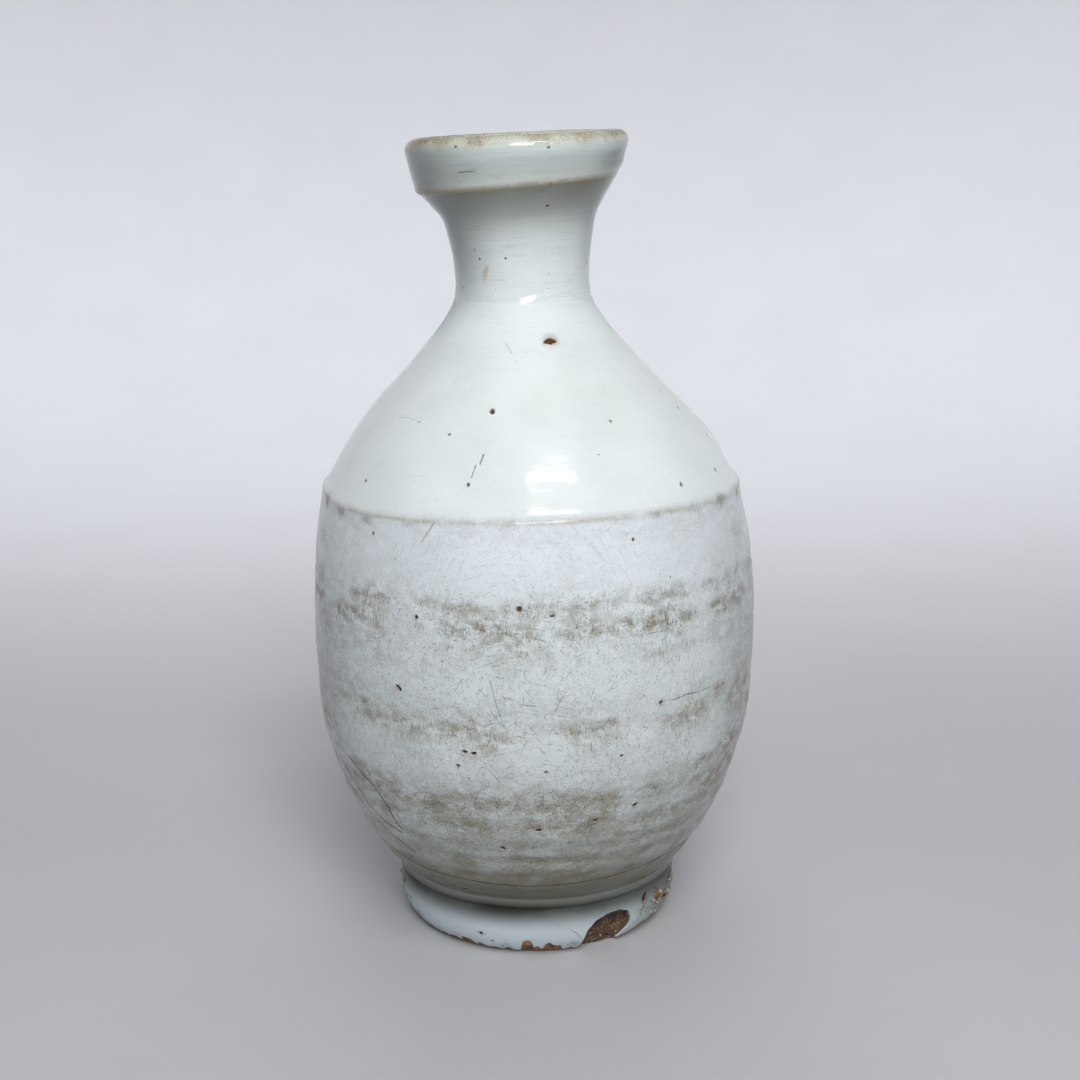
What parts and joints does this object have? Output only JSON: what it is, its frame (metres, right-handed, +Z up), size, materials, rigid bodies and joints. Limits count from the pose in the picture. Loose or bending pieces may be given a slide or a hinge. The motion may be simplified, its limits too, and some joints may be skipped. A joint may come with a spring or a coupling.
{
  "type": "sake bottle",
  "caption": "Hand-thrown white porcelain bottle with a dish mouth, short neck, shoulder seam, egg-shaped body and a foot ring that is chipped and has kiln sand on it.",
  "frame": {"origin": "centre of the foot ring's contact ring, on the surface that the bottle stands on", "axes": "+Z up along the bottle's axis towards the mouth, -Y towards the viewer of the front, +X to the viewer's right; the neck leans slightly to -X"},
  "size_m": [0.1176, 0.1176, 0.2112],
  "materials": {
    "bare_clay": "rough fired porcelain clay, stained red-brown where it is exposed",
    "slip": "fired clay slip, dull and fine-grained",
    "glaze": "glossy bluish-white glaze with brown stain bands, fine crackle, scratches and pinholes",
    "kiln_sand": "sintered sand grains, half sunk in glaze"
  },
  "bodies": {
    "root": {"foot_ring": "bare_clay", "lower_body": "bare_clay", "upper_body": "bare_clay", "neck": "bare_clay", "mouth_collar": "bare_clay", "foot_slip": "slip", "shoulder_slip": "slip", "neck_slip": "slip", "collar_slip": "slip", "outer_glaze": "glaze", "inner_glaze": "glaze", "recess_glaze": "glaze", "kiln_grit_right": "kiln_sand", "kiln_grit_left": "kiln_sand"}
  },
  "joints": []
}
